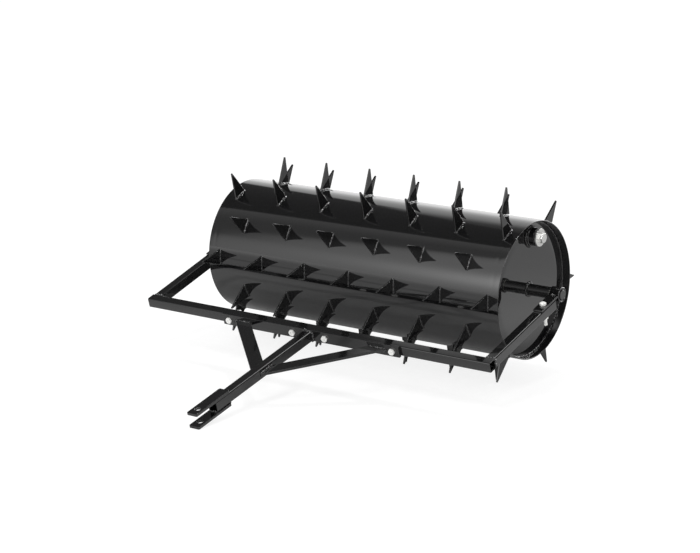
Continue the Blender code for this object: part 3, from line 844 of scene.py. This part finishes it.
class AERATOR_OT_spikes(bpy.types.Operator):
    """Stands the triangular plates on the shell and runs a weld bead along both sides of each"""

    bl_idname = "aerator.spikes"
    bl_label = "Spikes"

    def execute(self, context):
        sizes, welds = context.scene.aerator_drum, context.scene.aerator_welds
        middle, turn, thickness = SPIKES.T[:, :, None, None]
        half_tip, half_base = sizes.spike_tip / 2, sizes.spike_base / 2
        foot, corner = DRUM_RADIUS - 0.0015, 0.0009
        corners = [
            (half_base, foot), (half_tip, TIP_RADIUS), (-half_tip, TIP_RADIUS), (-half_base, foot)
        ]
        inset, depth = rim(sizes.spike_edge, 2)
        section = outline(corners, corner, [*inset, *inset[::-1]], 2)
        ends = depth[:, None] - thickness / 2, thickness / 2 - depth[::-1, None]
        x = middle + np.concatenate(ends, 1)
        plates = self.on_drum(x, section[None, ..., 0], section[None, ..., 1], turn)
        piece("spikes", plates, body="drum")

        # A bead's middle runs along the corner of plate and shell, from end to end of the foot.
        # Its size is uneven, falls at every other station by the ripple, and goes by the root of
        # one less 0.97 of the eighth power of the way from its middle to its end.
        random = np.random.default_rng(welds.seed)
        along, past_foot = np.linspace(-1, 1, 17), 0.001
        side = np.tile([-1.0, 1.0], len(SPIKES))[:, None, None]
        middle, turn, thickness = np.repeat(SPIKES, 2, 0).T[:, :, None, None]
        uneven = 1 + welds.lump * random.uniform(-1, 1, (len(side), len(along)))
        uneven[:, ::2] *= 1 - welds.ripple
        size = welds.spike_bead * uneven * np.sqrt(1 - 0.97 * np.abs(along) ** 8)
        across, up = (size[..., None] * part(around(6)) * 0.9 for part in (np.cos, np.sin))
        bend = turn + (along * (half_base + past_foot) / DRUM_RADIUS)[None, :, None]
        x = middle + side * (thickness / 2 + across)
        weld("spike_welds", self.on_drum(x, 0, DRUM_RADIUS + up, bend), "drum")
        return {"FINISHED"}

    def on_drum(self, x, across, reach, turn):
        """Points beside the middle of a spike and at a reach, turned towards the hitch."""
        y = -across * np.cos(turn) - reach * np.sin(turn)
        z = -across * np.sin(turn) + reach * np.cos(turn)
        return np.stack(np.broadcast_arrays(x, y, z), -1)


class AERATOR_OT_drum_ends(bpy.types.Operator):
    """Finishes the end discs, their welds, the centre tube and the bushes"""

    bl_idname = "aerator.drum_ends"
    bl_label = "Drum ends"

    def execute(self, context):
        sizes, welds = context.scene.aerator_drum, context.scene.aerator_welds
        tube = points_of("centre_tube")
        radius = tube[:, 2].max()
        crown = (sizes.crown_start, sizes.disc_crown)
        # The disc's hole lies half way between the socket's neck and the edge of its collar
        neck = (FILL[1:], (SOCKET[:, 1].max() + SOCKET_NECK) / 2)
        # The beads' middles: over the disc's face, inside the shell and round the tube
        over, at_shell, at_tube = 0.0006, SHELL_BORE - 0.0022, radius + 0.0008
        for number, (side, way) in enumerate(SIDES):
            refinish(f"bush_{side}", "nylon")
            name, hole = f"end_plate_{side}", neck if way > 0 else None
            face, back = way * DISC_FACE, way * DISC_BACK
            disc = pierced_disc(name, radius, SHELL_BORE, face, back, crown, hole)
            add(disc, f"end_disc_{side}", "drum", "black_paint")
            centre = (way * (DISC_FACE - sizes.disc_crown + over), 0, 0)
            ring_weld(f"disc_weld_{side}", centre, at_shell, welds.disc_bead, 761, 10 + number)
            name, centre = f"centre_tube_weld_{side}", (way * (DISC_FACE + over), 0, 0)
            ring_weld(name, centre, at_tube, welds.tube_bead, 121, 20 + number)
        grid = pipe(radius, reach_of(tube).min(), tube[:, 0].min(), tube[:, 0].max(), 0.0005)
        piece("axle_tube", grid, "centre_tube", "drum", closed=True)
        return {"FINISHED"}


class AERATOR_OT_fill_opening(bpy.types.Operator):
    """Turns the fill socket, its seal and its plug, with their threads and the plug's hexagon"""

    bl_idname = "aerator.fill_opening"
    bl_label = "Fill opening"

    def execute(self, context):
        sizes = context.scene.aerator_drum
        self.socket(sizes, context.scene.aerator_welds.tube_bead)
        seal = points_of("fill_seal") - FILL
        low, high = seal[:, 0].min(), seal[:, 0].max()
        grid = pipe(seal[:, 1].max(), reach_of(seal).min(), low, high, 0.0012) + FILL
        piece("seal_ring", grid, "fill_seal", "plug_seal", "rubber", closed=True)
        self.plug(sizes)
        return {"FINISHED"}

    def socket(self, sizes, weld_size):
        """A neck with a collar and with a thread in its bore, and its weld on the disc."""
        collar, bore = SOCKET_REACH.max(), SOCKET_REACH.min()
        on_collar = (SOCKET_REACH > collar - 0.001) & (SOCKET[:, 0] < SOCKET_TOP - 0.001)
        step = SOCKET[on_collar, 0].max()
        foot = -0.75 * sizes.disc_crown
        collar_edge, neck_edge, angle = 0.0016, 0.0008, around(72)
        radii, places = thread(
            bore, -sizes.thread_depth, sizes.thread_pitch, SOCKET_LOW, SOCKET_TOP - 0.002, angle
        )
        rows = [
            (SOCKET_NECK, SOCKET_LOW),
            (SOCKET_NECK, foot),
            (collar, foot),
            *upper_edge(collar, step, collar_edge),
            (SOCKET_NECK, step),
            *upper_edge(SOCKET_NECK, SOCKET_TOP, neck_edge),
            (bore, SOCKET_TOP),
            (radii[::-1], places[::-1]),
        ]
        grid = turned(rows, angle, centre=FILL)
        piece("fill_neck", grid, "fill_socket", "drum", closed=True)
        ring_weld("fill_neck_weld", FILL + (0.001, 0, 0), collar, weld_size, 241, 30)

    def plug(self, sizes):
        """A threaded shank with a groove, a flange and a hexagon."""
        points = points_of("fill_plug") - FILL
        reach, places = reach_of(points), points[:, 0]
        start, end, flange = places.min(), places.max(), points[:, 1].max()
        at_flange = places[reach > flange - 0.0002]
        under, over = at_flange.min(), at_flange.max() + 0.0006
        shank = reach[places < under - 0.001].max()
        groove, groove_start = shank - 0.0008, under - 0.0028
        threaded = start + 0.0014, under - 0.003
        flange_edge, head_edge, angle = 0.0007, 0.0002, ROUND_HEXAGON
        rows = [
            (shank - 0.0016, start),
            thread(shank, sizes.thread_depth, sizes.thread_pitch, *threaded, angle),
            (groove, groove_start),
            (groove, under),
            *lower_edge(flange, under, flange_edge),
            *upper_edge(flange, over, flange_edge),
            *hexagon(sizes.plug_hexagon, over, end, head_edge),
        ]
        # A corner of the hexagon points up
        grid = turned(rows, angle + math.pi / 6, centre=FILL)
        piece("plug_body", grid, "fill_plug", "plug", "zinc", look="bright_zinc")


class AERATOR_OT_tubes(bpy.types.Operator):
    """Cuts the front bar, the side arms and the drawbar from square tube"""

    bl_idname = "aerator.tubes"
    bl_label = "Square tubes"

    def execute(self, context):
        sizes = context.scene.aerator_frame
        for name, node, tilt, axis in (
            ("front_tube", "front_bar", FRAME_TILT, 0),
            ("arm_tube_left", "side_arm_left", FRAME_TILT, 1),
            ("arm_tube_right", "side_arm_right", FRAME_TILT, 1),
            ("drawbar_tube", "drawbar", HITCH_TILT, 1),
        ):
            grid = bar(extent(node, tilt), axis, sizes.tube_corner, sizes.cut_edge, sizes.tube_wall)
            piece(name, grid, node, closed=True, tilt=tilt)
        return {"FINISHED"}


class AERATOR_OT_flat_bars(bpy.types.Operator):
    """Cuts the hitch plate, the braces, the hitch ears and the axle plates from flat bar"""

    bl_idname = "aerator.flat_bars"
    bl_label = "Flat bars"

    def execute(self, context):
        sizes = context.scene.aerator_frame
        edge = sizes.cut_edge
        grid = bar(extent("hitch_plate", FRAME_TILT), 0, edge, edge)
        piece("cross_plate", grid, "hitch_plate", tilt=FRAME_TILT)
        for side, _ in SIDES:
            node = f"axle_plate_{side}"
            box = extent(node, FRAME_TILT)
            corner, rear_part, clearance = 0.0012, 0.004, 0.0002
            grid = bar(box, 2, corner, edge)
            # The rear edge follows the round boss: the circle's reach at each height
            rear = grid[..., 1] > box[1, 1] - rear_part
            reach = np.sqrt(np.maximum((BOSS_RADIUS + clearance) ** 2 - grid[..., 2] ** 2, 0))
            grid[..., 1] = np.where(rear, np.minimum(grid[..., 1], -reach), grid[..., 1])
            piece(f"arm_plate_{side}", grid, node, tilt=FRAME_TILT)
            self.brace(side, edge)
        for level in ("upper", "lower"):
            self.ear(level, sizes)
        return {"FINISHED"}

    def brace(self, side, edge):
        """A level bar whose four corners are the ends of its slanting edges."""
        corners, low, high = brace_plan(side)
        if side == "left":
            corners = corners[::-1]
        grid = prism(corners, 2, low, high, edge, edge)
        node = f"brace_{side}"
        piece(f"flat_brace_{side}", grid, node, tilt=HITCH_TILT)

    def ear(self, level, sizes):
        """A bar with a hole. Rays from the hole meet its outline, moved in, and the hole's edge."""
        node = f"hitch_ear_{level}"
        box = extent(node, HITCH_TILT)
        pin_from_front = 0.028
        centre = np.array([0, box[0, 1] + pin_from_front])
        plan = outline(oblong(box[0, :2], box[1, :2]), sizes.ear_corner, [0.0], 5)[0] - centre
        even = np.linspace(-math.pi, math.pi, 64, endpoint=False) + 0.01
        angle = np.sort(np.concatenate([np.arctan2(plan[:, 1], plan[:, 0]), even]))
        ray = np.stack([np.cos(angle), np.sin(angle)], 1)
        side = np.roll(plan, -1, 0) - plan
        normal = np.stack([side[:, 1], -side[:, 0]], 1)
        normal /= np.linalg.norm(side, axis=1, keepdims=True)
        towards = ray @ normal.T
        outer, up = bar_rows(box[0, 2], box[1, 2], sizes.cut_edge)
        widened, down = bar_rows(box[0, 2], box[1, 2], sizes.pin_edge)
        distance = (normal * plan).sum(1) - outer[:, None, None]
        distance = np.nanmin(distance / np.where(towards > 1e-6, towards, np.nan), 2)
        hole = sizes.pin_radius + widened[:, None] + 0 * distance
        plane = centre + np.concatenate([distance, hole])[..., None] * ray
        height = np.concatenate([up, down[::-1]])[:, None]
        grid = stand(2, plane[..., 0], plane[..., 1], height)
        name = f"clevis_ear_{level}"
        piece(name, grid, node, closed=True, tilt=HITCH_TILT)


class AERATOR_OT_axle_ends(bpy.types.Operator):
    """Turns the bosses behind the arms and the stub axles in them"""

    bl_idname = "aerator.axle_ends"
    bl_label = "Axle ends"

    def execute(self, context):
        sizes = context.scene.aerator_frame
        for side, way in SIDES:
            self.boss(side, way, sizes)
            self.stub(side, way)
        return {"FINISHED"}

    def boss(self, side, way, sizes):
        """A short pipe with a rounded outer end, and a bevel inside it."""
        node = f"axle_boss_{side}"
        bore = BOSS_RADIUS - sizes.boss_wall
        inner_end, outer_end = np.sort(np.abs(extent(node)[:, 0]))
        inner_edge = 0.0008
        rows = [
            (bore, outer_end - sizes.boss_bevel),
            (bore, inner_end + inner_edge),
            (bore + inner_edge, inner_end),
            *lower_edge(BOSS_RADIUS, inner_end, inner_edge),
            *upper_edge(BOSS_RADIUS, outer_end, sizes.boss_edge, 5),
            (bore + sizes.boss_bevel, outer_end),
        ]
        grid = turned(rows, around(72), way=way)
        piece(f"boss_pipe_{side}", grid, node, closed=True)

    def stub(self, side, way):
        """A journal in the drum, and a thicker head in the boss."""
        node = f"stub_axle_{side}"
        points = points_of(node)
        reach, places = reach_of(points), np.abs(points[:, 0])
        start, end = places.min(), places.max()
        journal = reach[places < start + 0.01].max()
        shoulder = places[reach > journal + 0.001].min()
        play, journal_edge, head_edge = 0.0007, 0.0012, 0.0016
        head = reach.max() - play
        rows = [
            *lower_edge(journal, start, journal_edge),
            (journal, shoulder),
            (head, shoulder),
            *upper_edge(head, end, head_edge),
        ]
        grid = turned(rows, around(72), way=way)
        piece(f"stub_bar_{side}", grid, node)


class AERATOR_OT_bolts(bpy.types.Operator):
    """Turns the bolts with their hexagon heads and threads, and the nuts"""

    bl_idname = "aerator.bolts"
    bl_label = "Bolts and nuts"

    def execute(self, context):
        for number in PLATE_BOLTS:
            self.bolt(context, f"plate_bolt_{number}", f"plate_nut_{number}", 1, -1)
        for side, _ in SIDES:
            self.bolt(context, f"arm_bolt_{side}", f"arm_nut_{side}", 2, 1)
        return {"FINISHED"}

    def bolt(self, context, bolt, nut, axis, way):
        """Its head points along the axis, to plus or minus, and its thread ends inside the nut."""
        sizes = context.scene.aerator_frame
        box = extent(bolt, FRAME_TILT)
        centre = box.mean(0)
        centre[axis] = 0
        start, top = np.sort(box[:, axis] * way)
        nut_start, nut_end = np.sort(extent(nut, FRAME_TILT)[:, axis] * way)
        bearing, flats, radius = top - sizes.bolt_head, sizes.bolt_hexagon, sizes.bolt_radius
        edge, chamfer, depth, angle = 0.0002, 0.0008, 0.0009, ROUND_HEXAGON
        # Shares of the hexagon's size, and depths below the top
        dish = ((0.24, 0), (0.2, 0.0008), (0.08, 0.0022))
        rows = [
            (radius - chamfer, start),
            thread(radius, depth, sizes.bolt_pitch, start + chamfer, nut_end - 0.001, angle),
            (radius, nut_end),
            (radius, bearing),
            *hexagon(flats, bearing, top, edge),
            *((flats * out, top - drop) for out, drop in dish),
        ]
        grid = turned(rows, angle, axis, centre, way)
        name = bolt.replace("bolt", "screw")
        piece(name, grid, bolt, "frame", "zinc", tilt=FRAME_TILT)
        bore = radius + 0.0003
        rows = [
            *hexagon(flats, nut_start, nut_end, edge, cut_below=True),
            (bore + chamfer, nut_end),
            (bore, nut_end - chamfer),
            (bore, nut_start + chamfer),
            (bore + chamfer, nut_start),
        ]
        grid = turned(rows, angle, axis, centre, way)
        name = nut.replace("nut", "hexagon_nut")
        piece(name, grid, nut, "frame", "zinc", closed=True, tilt=FRAME_TILT)


class AERATOR_OT_frame_welds(bpy.types.Operator):
    """Runs the weld beads of the frame and of the hitch"""

    bl_idname = "aerator.frame_welds"
    bl_label = "Frame welds"

    def execute(self, context):
        front = extent("front_bar", FRAME_TILT)
        drawbar = extent("drawbar", HITCH_TILT)
        # How far beads run inside a tube's sides, inside a plate's ends, and below its top
        inside, from_end, sunk = 0.0016, 0.006, 0.001
        for number, (side, _) in enumerate(SIDES):
            arm = extent(f"side_arm_{side}", FRAME_TILT)[:, [0, 2]]
            joint = [(x, front[1, 1], z) for x, z in oblong(arm[0] + inside, arm[1] - inside)]
            self.run(f"arm_weld_{side}", self.closed(joint), 100 + 10 * number, FRAME_TILT)
            ((outer, _), (inner, _), rear, fore), low, high = brace_plan(side)
            lines = []
            for level in (low, high):
                lines.append([self.at_plate(x, level) for x in (outer, inner)])
                lines.append([(*rear, level), (*fore, level)])
            for x in (outer, inner):
                lines.append([self.at_plate(x, level) for level in (low, high)])
            self.run(f"brace_weld_{side}", lines, 130 + 10 * number, HITCH_TILT)
            (near, _, _), (far, _, top) = extent(f"axle_plate_{side}", FRAME_TILT)
            y = -math.sqrt(BOSS_RADIUS**2 - top**2)
            line = [(x, y, top - sunk) for x in (near + from_end, far - from_end)]
            self.run(f"axle_plate_weld_{side}", [line], 150 + 10 * number, FRAME_TILT)
        joint = [self.at_plate(x, z) for x, z in oblong(*drawbar[:, [0, 2]])]
        self.run("drawbar_weld", self.closed(joint), 170, HITCH_TILT)
        for number, level in enumerate(("lower", "upper")):
            rear = extent(f"hitch_ear_{level}", HITCH_TILT)[1, 1]
            face = drawbar[number, 2]
            lines = [[(x, y, face) for x in drawbar[:, 0]] for y in (drawbar[0, 1], rear)]
            self.run(f"ear_weld_{level}", lines, 180 + 10 * number, HITCH_TILT)
        return {"FINISHED"}

    def at_plate(self, x, z):
        """The place in the hitch plane, at this X and Z, that lies in the cross plate's front."""
        turn = HITCH_TILT - FRAME_TILT
        return x, (PLATE_FACE + z * math.sin(turn)) / math.cos(turn), z

    def closed(self, corners):
        """The lines from corner to corner and back to the first."""
        return list(zip(corners, corners[1:] + corners[:1]))

    def run(self, name, lines, number, tilt):
        """Beads along straight lines, each given by its two ends."""
        radius = bpy.context.scene.aerator_welds.frame_bead
        along = np.linspace(0, 1, 49)[:, None]
        paths = [np.asarray(start) * (1 - along) + np.asarray(end) * along for start, end in lines]
        beads = [bead(path, radius, number + turn) for turn, path in enumerate(paths)]
        weld(name, np.stack(beads), "frame", tilt)


# What the floor gives back to mirrors, by Y, in the middle and on the left, then on the right.
# Its dips are painted shade, where the drum and the frame shadow the floor.
FLOOR_SHADE_MIDDLE = (
    (-3, 0.56), (-0.92, 0.53), (-0.84, 0.36), (-0.76, 0.36), (-0.68, 0.51), (-0.5, 0.5),
    (-0.25, 0.4), (-0.15, 0.54), (0, 0.48), (0.1, 0.44), (0.2, 0.3), (0.3, 0.38), (0.45, 0.2),
    (1.2, 0.3), (3, 0.28),
)
FLOOR_RIGHT = ((-3, 0.5), (1.0, 0.48), (1.8, 0.36), (3, 0.28))
# Where the right starts, by X, and the floor's glow by the distance from the middle, a painted
# light that brightens the far floor in mirrors
FLOOR_RIGHT_START = ((-2, 0), (0.6, 0), (0.9, 1), (3, 1))
FLOOR_PAINTED_GLOW = ((0, 0.04), (2, 0.04), (6, 0.5), (10, 0.6))


class AERATOR_OT_studio(bpy.types.Operator):
    """Lays the pale floor, lights it and sets up the camera"""

    bl_idname = "aerator.studio"
    bl_label = "Studio"

    def execute(self, context):
        studio = context.scene.aerator_studio
        self.floor(studio)
        self.surroundings(studio)
        self.lamp("soft_lamp", studio.key_power, 1.2, (0.9, -2.5, 3.5), (40, 0, 18))
        self.lamp("glint_lamp", studio.glint_power, 0.4, (0.1, 0.5, 2.8), (0, 0, 0))
        lens = bpy.data.cameras.new("camera")
        lens.lens = studio.lens
        lens.sensor_width = 36
        lens.sensor_fit = "HORIZONTAL"
        context.scene.camera = put("camera", lens, studio.eye, studio.turn)
        context.scene.view_settings.view_transform = "Standard"
        return {"FINISHED"}

    def lamp(self, name, power, size, place, turn):
        """A square lamp that is turned by these degrees from straight down."""
        lamp = bpy.data.lights.new(name, "AREA")
        lamp.energy = power
        lamp.size = size
        put(name, lamp, place, [math.radians(angle) for angle in turn])

    def floor(self, studio):
        """A disc that shows white with a soft shadow.

        In mirrors it gives back a share of its light that goes by Y, with one curve for the right
        and one for the rest, both with painted shade near the drum and the frame, and its painted
        glow grows with the distance from the middle.
        """
        radius, angle = 40, around(96)
        points = radius * np.stack([np.cos(angle), np.sin(angle), 0 * angle], 1)
        mesh = bpy.data.meshes.new("floor")
        mesh.from_pydata(points.tolist(), [], [list(range(len(points)))])
        floor = put("floor", mesh)
        made = bpy.data.materials.new("pale_floor")
        tree = bare_tree(made)
        place = add_node(tree, "ShaderNodeTexCoord")["Object"]
        x, y, _ = add_node(tree, "ShaderNodeSeparateXYZ", {0: place})
        out = add_node(tree, "ShaderNodeVectorMath", {0: place}, operation="LENGTH")["Value"]
        mirrored = add_node(tree, "ShaderNodeLightPath")["Is Glossy Ray"]
        # Painted shade: in mirrors the floor is darker under the drum and near the frame
        middle, right = (curve(tree, y, stops) for stops in (FLOOR_SHADE_MIDDLE, FLOOR_RIGHT))
        given_back_with_painted_shade = choose(tree, curve(tree, x, FLOOR_RIGHT_START), middle, right)
        given_back_with_painted_shade = choose(tree, mirrored, studio.floor, given_back_with_painted_shade)
        # Painted light: in mirrors the floor glows brighter far from the middle
        glow = choose(tree, mirrored, studio.floor_glow, curve(tree, out, FLOOR_PAINTED_GLOW))
        lit = add_node(tree, "ShaderNodeBsdfDiffuse", {"Color": given_back_with_painted_shade})[0]
        glowing = add_node(tree, "ShaderNodeEmission", {"Strength": glow})[0]
        both = add_node(tree, "ShaderNodeAddShader", {0: lit, 1: glowing})[0]
        add_node(tree, "ShaderNodeOutputMaterial", {"Surface": both})
        mesh.materials.append(made)

    def surroundings(self, studio):
        """White to the camera, one even level to rough surfaces, and the mirrored room to gloss."""
        world = bpy.data.worlds.new("white_room")
        bpy.context.scene.world = world
        tree = bare_tree(world)
        room = add_node(tree, "ShaderNodeGroup", node_tree=mirrored_room())["Level"]
        rays = add_node(tree, "ShaderNodeLightPath")
        mirrored = maths(tree, "MULTIPLY", room, studio.room_light)
        level = choose(tree, rays["Is Diffuse Ray"], mirrored, studio.fill_light)
        level = choose(tree, rays["Is Camera Ray"], level, 1.0)
        backdrop = {"Color": (1, 1, 1, 1), "Strength": level}
        backdrop = add_node(tree, "ShaderNodeBackground", backdrop)[0]
        add_node(tree, "ShaderNodeOutputWorld", {"Surface": backdrop})


class AERATOR_PT_pieces(bpy.types.Panel):
    """Lists the sizes, the finishes and the steps that build the aerator"""

    bl_label = "Lawn aerator"
    bl_idname = "AERATOR_PT_pieces"
    bl_space_type = "VIEW_3D"
    bl_region_type = "UI"
    bl_category = "Aerator"

    def draw(self, context):
        for name, kind in GROUPS:
            box = self.layout.box()
            box.label(text=kind.__doc__)
            values = getattr(context.scene, name)
            for value in kind.__annotations__:
                box.prop(values, value)
        for step in STEPS:
            self.layout.operator(step.bl_idname)


GROUPS = (
    ("aerator_drum", AeratorDrumSizes),
    ("aerator_frame", AeratorFrameSizes),
    ("aerator_welds", AeratorWelds),
    ("aerator_finishes", AeratorFinishes),
    ("aerator_studio", AeratorStudio),
)
STEPS = (
    AERATOR_OT_drum_shell,
    AERATOR_OT_spikes,
    AERATOR_OT_drum_ends,
    AERATOR_OT_fill_opening,
    AERATOR_OT_tubes,
    AERATOR_OT_flat_bars,
    AERATOR_OT_axle_ends,
    AERATOR_OT_bolts,
    AERATOR_OT_frame_welds,
    AERATOR_OT_studio,
)


def register():
    for name, kind in GROUPS:
        bpy.utils.register_class(kind)
        setattr(bpy.types.Scene, name, PointerProperty(type=kind))
    for kind in (*STEPS, AERATOR_PT_pieces):
        bpy.utils.register_class(kind)


def unregister():
    for kind in reversed((*STEPS, AERATOR_PT_pieces)):
        bpy.utils.unregister_class(kind)
    for name, kind in reversed(GROUPS):
        delattr(bpy.types.Scene, name)
        bpy.utils.unregister_class(kind)


def main():
    register()
    for step in STEPS:
        category, name = step.bl_idname.split(".")
        getattr(getattr(bpy.ops, category), name)()


if __name__ == "__main__":
    main()
